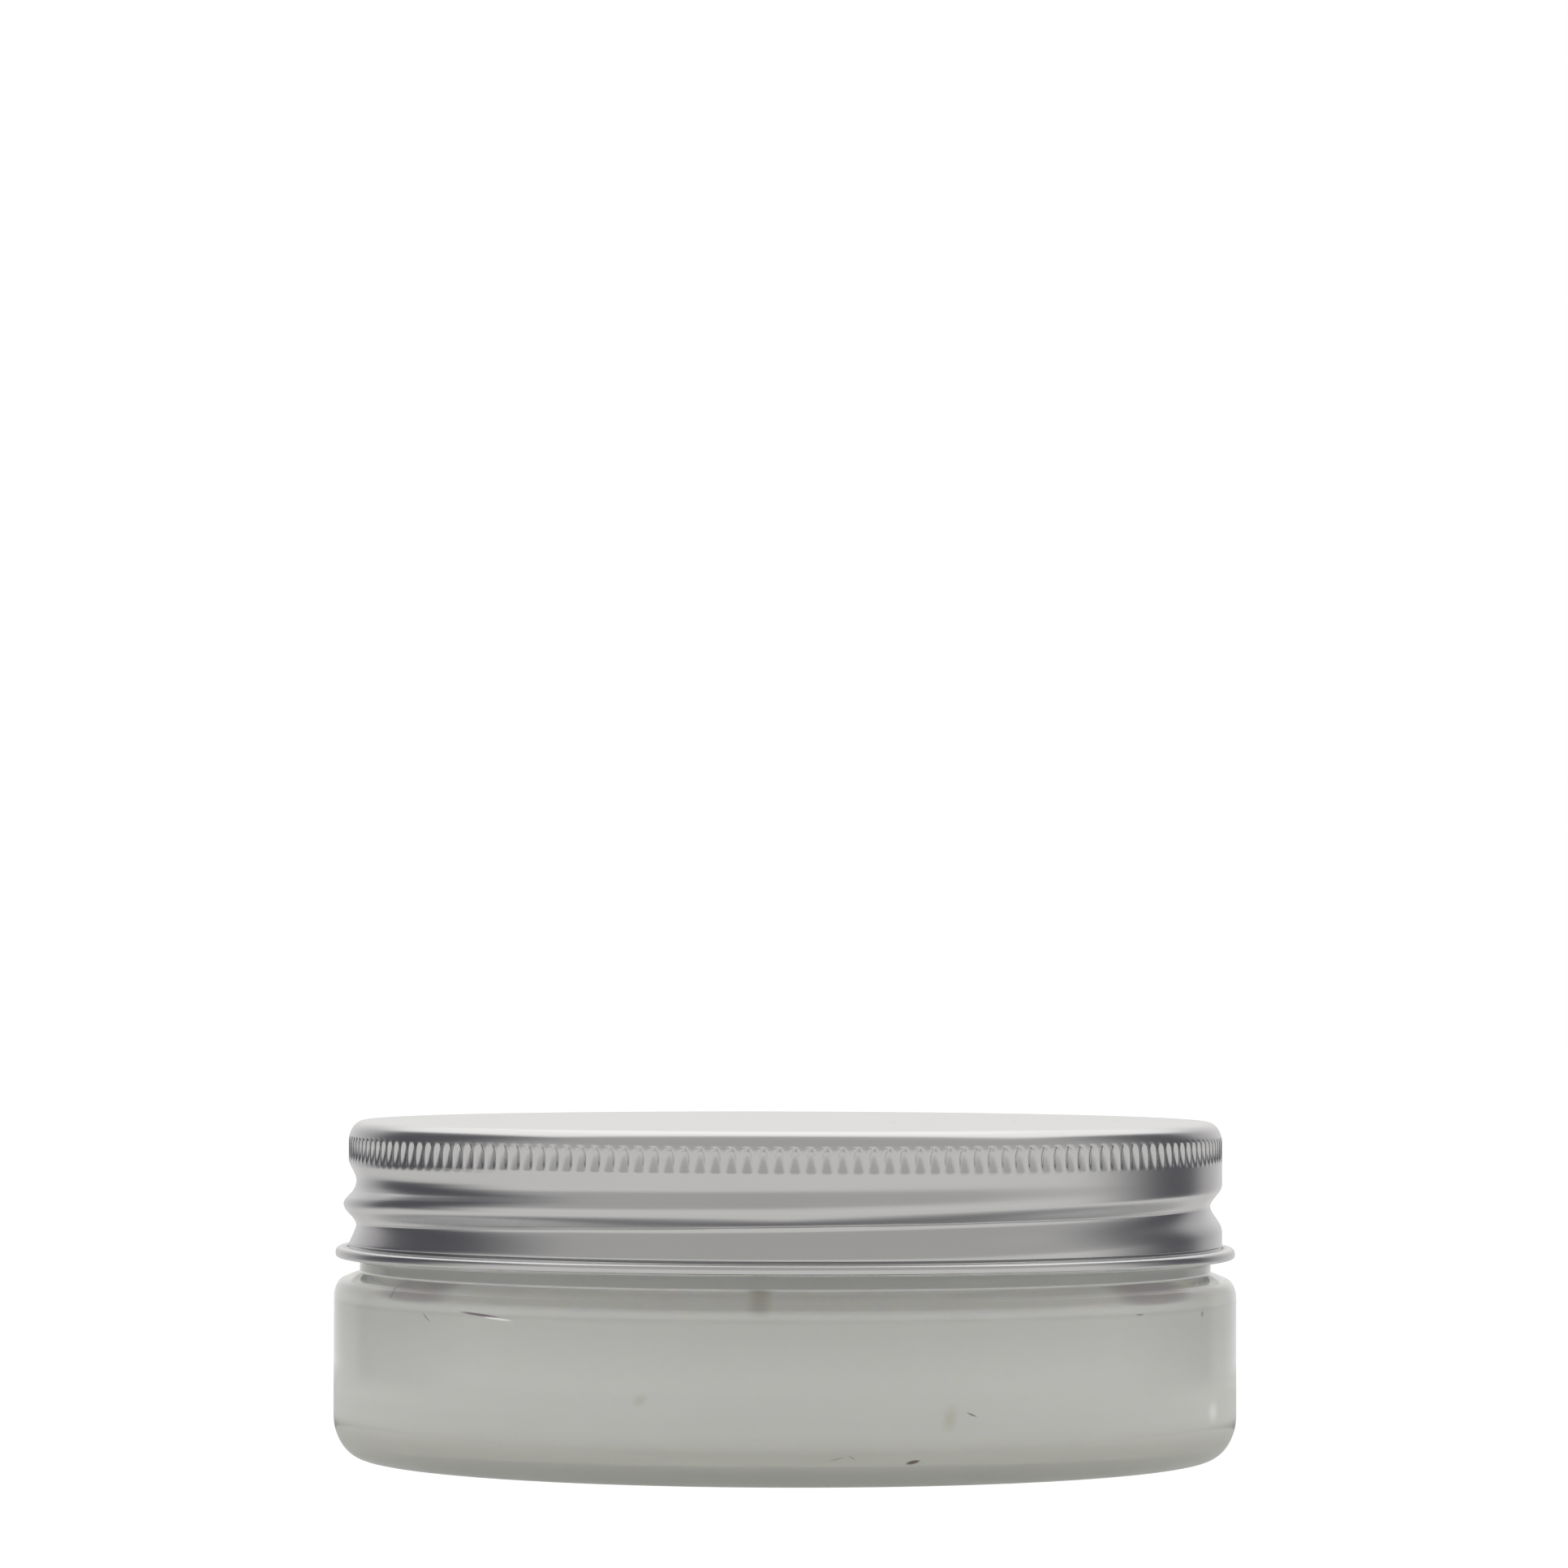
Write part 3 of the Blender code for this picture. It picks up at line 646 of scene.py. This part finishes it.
def cream_finish():
    """Thick white emulsion, filled warm: soft light from below its surface, faint clouds, a few bubbles.

    Its tone follows the height as painted light and shade, since the light that reaches it does.
    """
    material, tree, place = new_finish("filled_white_cream")
    cloud, fine = (
        add(tree, "ShaderNodeTexNoise", {"Vector": place, "Scale": 1 / size, "Detail": detail}).outputs[0]
        for size, detail in ((CREAM_CLOUD, 4.0), (CREAM_BUBBLE, 3.0))
    )
    level = add(tree, "ShaderNodeSeparateXYZ", {0: place}).outputs[2]
    # Painted light and shade: the cream's tone by its height in the jar
    share = add(tree, "ShaderNodeMath", {0: level, 1: CREAM_TONE_SPAN}, operation="DIVIDE").outputs[0]
    ramp = add(tree, "ShaderNodeValToRGB", {0: share})
    stops = ramp.color_ramp.elements
    stops.remove(stops[0])
    for height, colour in CREAM_PAINTED_LIGHT_AND_SHADE:
        stops.new(height / CREAM_TONE_SPAN).color = paint(colour)
    stops.remove(stops[-1])
    cloudy = add(tree, "ShaderNodeMath", {0: cloud, 1: CREAM_CLOUD_SHARE}, operation="MULTIPLY").outputs[0]
    tone = add(tree, "ShaderNodeMix", {
        0: cloudy, 6: ramp.outputs[0], 7: paint("#F4F4F0"),
    }, data_type="RGBA", blend_type="MULTIPLY").outputs[2]
    tone = with_marks_and_painted_light(tree, place, tone)
    bump = add(tree, "ShaderNodeBump", {
        "Height": fine, "Strength": 0.3, "Distance": CREAM_BUBBLE_DEPTH,
    }).outputs[0]
    shader = add(tree, "ShaderNodeBsdfPrincipled", {
        "Base Color": tone, "Roughness": 0.42, "IOR": 1.45, "Normal": bump,
        "Subsurface Weight": 1.0, "Subsurface Radius": (1.0, 0.9, 0.75),
        "Subsurface Scale": CREAM_LIGHT_DEPTH,
    })
    add(tree, "ShaderNodeOutputMaterial", {"Surface": shader.outputs[0]})
    return material


def with_marks_and_painted_light(tree, place, tone):
    """The tone with the marks, painted shadow, highlight and reflections laid on it, each a soft ellipse on
    the cream's side unrolled flat.
    """
    reach = JAR_RADIUS - WALL
    point = add(tree, "ShaderNodeSeparateXYZ", {0: place}).outputs
    front = add(tree, "ShaderNodeMath", {0: point[1], 1: -1.0}, operation="MULTIPLY").outputs[0]
    round_jar = add(tree, "ShaderNodeMath", {0: point[0], 1: front}, operation="ARCTAN2").outputs[0]
    round_jar = add(tree, "ShaderNodeMath", {0: round_jar, 1: reach}, operation="MULTIPLY").outputs[0]
    flat = add(tree, "ShaderNodeCombineXYZ", {0: round_jar, 1: point[2]}).outputs[0]
    for angle, height, half_length, half_width, lean, fades, strength, colour in CREAM_MARKS_AND_PAINTED_LIGHT:
        near = add(tree, "ShaderNodeMapping", {
            "Vector": flat, "Location": (math.radians(angle) * reach, height, 0),
            "Rotation": (0, 0, math.radians(lean)), "Scale": (half_length, half_width, 1),
        }, vector_type="TEXTURE").outputs[0]
        near = add(tree, "ShaderNodeVectorMath", {0: near}, operation="LENGTH").outputs["Value"]
        share = add(tree, "ShaderNodeMapRange", {
            "Value": near, "From Min": fades, "From Max": 1.0, "To Min": strength, "To Max": 0.0,
        }, interpolation_type="SMOOTHSTEP").outputs[0]
        tone = add(tree, "ShaderNodeMix", {0: share, 6: tone, 7: paint(colour)}, data_type="RGBA").outputs[2]
    return tone


def foam():
    """Expanded polyethylene, sliced from a roll: matt white with small closed cells."""
    material, tree, place = new_finish("expanded_polyethylene_foam")
    cells = add(tree, "ShaderNodeTexVoronoi", {"Vector": place, "Scale": 1 / FOAM_CELL}).outputs["Distance"]
    tone = add(tree, "ShaderNodeMix", {
        0: cells, 6: paint("#E2E1DD"), 7: paint("#F1F0EC"),
    }, data_type="RGBA").outputs[2]
    bump = add(tree, "ShaderNodeBump", {
        "Height": cells, "Strength": 0.5, "Distance": FOAM_CELL_DEPTH,
    }).outputs[0]
    shader = add(tree, "ShaderNodeBsdfPrincipled", {"Base Color": tone, "Roughness": 0.75, "Normal": bump})
    add(tree, "ShaderNodeOutputMaterial", {"Surface": shader.outputs[0]})
    return material


def studio_walls():
    """A white sweep, seen as plain white.

    The metal reflects a grey front, dark sides, a lit rear and a bright canopy. Side is the angle round the
    jar from the camera's side, and rise is the angle above the floor. The dark panels start at a side that is
    skewed and leans with the rise. The canopy's front and side edges are angles from straight up, towards the
    camera and away from the middle. Light that came through the clear wall has a strength of its own, greater
    from behind and less from overhead.
    """
    world = bpy.data.worlds.new("studio")
    bpy.context.scene.world = world
    world.use_nodes = True
    tree = world.node_tree
    tree.nodes.clear()
    way = add(tree, "ShaderNodeTexCoord").outputs["Generated"]
    way = add(tree, "ShaderNodeSeparateXYZ", {0: way}).outputs
    across = add(tree, "ShaderNodeMath", {0: way[0]}, operation="ABSOLUTE").outputs[0]
    front = add(tree, "ShaderNodeMath", {0: way[1], 1: -1.0}, operation="MULTIPLY").outputs[0]
    side = add(tree, "ShaderNodeMath", {0: across, 1: front}, operation="ARCTAN2").outputs[0]
    rise = add(tree, "ShaderNodeMath", {0: way[2]}, operation="ARCSINE").outputs[0]
    ahead = add(tree, "ShaderNodeMath", {0: front, 1: way[2]}, operation="ARCTAN2").outputs[0]
    behind = add(tree, "ShaderNodeMath", {0: way[1], 1: way[2]}, operation="ARCTAN2").outputs[0]
    askew = add(tree, "ShaderNodeMath", {
        0: way[1], 1: -CANOPY_SPREAD, 2: across,
    }, operation="MULTIPLY_ADD").outputs[0]
    askew = add(tree, "ShaderNodeMath", {0: askew, 1: way[2]}, operation="ARCTAN2").outputs[0]
    lean = add(tree, "ShaderNodeMath", {
        0: way[0], 1: -PANEL_LEAN_SKEW, 2: PANEL_LEAN,
    }, operation="MULTIPLY_ADD").outputs[0]
    leaning = add(tree, "ShaderNodeMath", {0: rise, 1: lean, 2: side}, operation="MULTIPLY_ADD").outputs[0]
    leaning = add(tree, "ShaderNodeMath", {
        0: way[0], 1: -math.radians(PANEL_SKEW), 2: leaning,
    }, operation="MULTIPLY_ADD").outputs[0]
    steps = {}
    for name, value, ends in (
        ("above_front", rise, FRONT_DIMS),
        ("panel", leaning, PANEL_START),
        ("rear", side, PANEL_END),
        ("mid_rear", side, REAR_BRIGHTENS),
        ("past_canopy", ahead, CANOPY_FRONT),
        ("behind_canopy", behind, CANOPY_REAR),
        ("beside_canopy", askew, CANOPY_SIDE),
    ):
        start, end = (math.radians(angle) for angle in ends)
        steps[name] = add(tree, "ShaderNodeMapRange", {
            "Value": value, "From Min": start, "From Max": end,
        }, interpolation_type="SMOOTHSTEP").outputs[0]
    beyond = steps["past_canopy"]
    for name in ("beside_canopy", "behind_canopy"):
        beyond = add(tree, "ShaderNodeMath", {0: beyond, 1: steps[name]}, operation="MAXIMUM").outputs[0]
    room = paint("#C5C4C2")
    for share, tone in (
        (steps["above_front"], "#A2A1A0"),
        (steps["panel"], "#4C4C51"),
        (steps["rear"], "#A9A7A8"),
        (steps["mid_rear"], "#E6E5E4"),
    ):
        room = add(tree, "ShaderNodeMix", {0: share, 6: room, 7: paint(tone)}, data_type="RGBA").outputs[2]
    room = add(tree, "ShaderNodeMix", {
        0: beyond, 6: paint("#F6F5F4"), 7: room,
    }, data_type="RGBA").outputs[2]
    path = add(tree, "ShaderNodeLightPath").outputs
    start, end = (math.radians(angle) for angle in THROUGH_WALL_SIDE)
    through = add(tree, "ShaderNodeMapRange", {
        "Value": side, "From Min": start, "From Max": end,
        "To Min": THROUGH_WALL_LIGHT[0], "To Max": THROUGH_WALL_LIGHT[1],
    }).outputs[0]
    overhead = add(tree, "ShaderNodeMapRange", {
        "Value": way[2], "From Min": OVERHEAD_RISE_SINES[0], "From Max": OVERHEAD_RISE_SINES[1],
        "To Min": 1.0, "To Max": THROUGH_WALL_OVERHEAD,
    }).outputs[0]
    through = add(tree, "ShaderNodeMath", {0: through, 1: overhead}, operation="MULTIPLY").outputs[0]
    through = add(tree, "ShaderNodeBackground", {"Color": paint("#FFFFFF"), "Strength": through}).outputs[0]
    reflected = add(tree, "ShaderNodeBackground", {"Color": room, "Strength": 1.0}).outputs[0]
    reflected = add(tree, "ShaderNodeMixShader", {
        0: path["Transmission Depth"], 1: reflected, 2: through,
    }).outputs[0]
    seen = add(tree, "ShaderNodeBackground", {"Color": paint("#FFFFFF"), "Strength": 1.0}).outputs[0]
    mixed = add(tree, "ShaderNodeMixShader", {0: path["Is Camera Ray"], 1: reflected, 2: seen}).outputs[0]
    add(tree, "ShaderNodeOutputWorld", {"Surface": mixed})


def studio_floor():
    """A white sheet lit from below, seen as plain white.

    The metal reflects painted light and shade: a mid grey ring at the jar's foot, wider at the sides, painted
    as the light that the jar lets through, a dark painted shade round it, and pale grey up to the sheet's
    ends. Light that came through the clear wall has a strength of its own, with a painted shade under the
    jar.
    """
    signs = ((-1, -1), (1, -1), (1, 1), (-1, 1))
    corners = [(x * FLOOR_REACH, y * FLOOR_REACH, FLOOR_LEVEL) for x, y in signs]
    mesh = bpy.data.meshes.new("lit_floor")
    mesh.from_pydata(corners, [], [(0, 1, 2, 3)])
    material, tree, place = new_finish("lit_white_acrylic_sheet")
    squeezed = add(tree, "ShaderNodeVectorMath", {
        0: place, 1: FOOT_GLOW_SQUEEZE,
    }, operation="MULTIPLY").outputs[0]
    steps = {}
    for name, point, ends in (
        ("past_glow", squeezed, FOOT_GLOW_REACH),
        ("past_foot", place, FOOT_SHADE_REACH),
        ("past_shade", place, SHADE_REACH),
        ("past_sheet", place, SHEET_ENDS),
    ):
        far = add(tree, "ShaderNodeVectorMath", {0: point}, operation="LENGTH").outputs["Value"]
        steps[name] = add(tree, "ShaderNodeMapRange", {
            "Value": far, "From Min": ends[0], "From Max": ends[1],
        }, interpolation_type="SMOOTHSTEP").outputs[0]
    # Painted shade under the jar, for light on its way through the clear wall
    below = add(tree, "ShaderNodeMix", {
        0: steps["past_foot"], 6: paint("#ACACA8"), 7: paint("#FAFAF8"),
    }, data_type="RGBA").outputs[2]
    # Painted light and shade in reflections: a lighter ring at the foot, the dark shade round it, pale grey
    # beyond
    tone = paint("#B4B4B2")
    for name, outer in (("past_glow", "#5A5A5E"), ("past_shade", "#C3C2C0")):
        tone = add(tree, "ShaderNodeMix", {
            0: steps[name], 6: tone, 7: paint(outer),
        }, data_type="RGBA").outputs[2]
    near = add(tree, "ShaderNodeEmission", {"Color": tone, "Strength": 1.0}).outputs[0]
    clear = add(tree, "ShaderNodeBsdfTransparent").outputs[0]
    glow = add(tree, "ShaderNodeMixShader", {0: steps["past_sheet"], 1: near, 2: clear}).outputs[0]
    below = add(tree, "ShaderNodeEmission", {"Color": below, "Strength": FLOOR_THROUGH_WALL}).outputs[0]
    path = add(tree, "ShaderNodeLightPath").outputs
    glow = add(tree, "ShaderNodeMixShader", {0: path["Transmission Depth"], 1: glow, 2: below}).outputs[0]
    lit = add(tree, "ShaderNodeEmission", {"Color": paint("#FFFFFF"), "Strength": FLOOR_SEEN}).outputs[0]
    mixed = add(tree, "ShaderNodeMixShader", {0: path["Is Camera Ray"], 1: glow, 2: lit}).outputs[0]
    add(tree, "ShaderNodeOutputMaterial", {"Surface": mixed})
    mesh.materials.append(material)
    floor = bpy.data.objects.new("lit_floor", mesh)
    bpy.context.collection.objects.link(floor)


def softbox():
    """One wide soft light above and behind the jar."""
    light = bpy.data.lights.new("softbox", "AREA")
    light.shape = "RECTANGLE"
    light.size, light.size_y = SOFTBOX_SIZE
    light.energy = SOFTBOX_WATTS
    lamp = bpy.data.objects.new("softbox", light)
    lamp.location = SOFTBOX_PLACE
    bpy.context.collection.objects.link(lamp)


def camera():
    """The photograph's view: from a little above the jar, tilted up and rolled a hair, with no shift."""
    lens = bpy.data.cameras.new("camera")
    lens.sensor_width = SENSOR
    lens.lens = SENSOR * FOCAL_PIXELS / PHOTO_SIDE
    lens.clip_start = 0.01
    eye = bpy.data.objects.new("camera", lens)
    eye.location = (CAMERA_ASIDE, -CAMERA_DISTANCE, CAMERA_HEIGHT)
    eye.rotation_euler = (math.pi / 2 + CAMERA_PITCH, CAMERA_ROLL, 0)
    bpy.context.collection.objects.link(eye)
    bpy.context.scene.camera = eye


def placed(piece, body, node):
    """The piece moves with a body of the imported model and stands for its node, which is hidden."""
    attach(piece, body)
    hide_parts(node)


bpy.context.scene.view_settings.view_transform = "Standard"
camera()
studio_walls()
studio_floor()
softbox()
placed(clear_jar(clear_pet()), "jar", "jar_body")
placed(cream(cream_finish()), "jar", "cream_fill")
placed(foam_wad(foam()), "wad", "cap_liner")
placed(screw_cap(satin_aluminium()), "cap", "cap_shell")
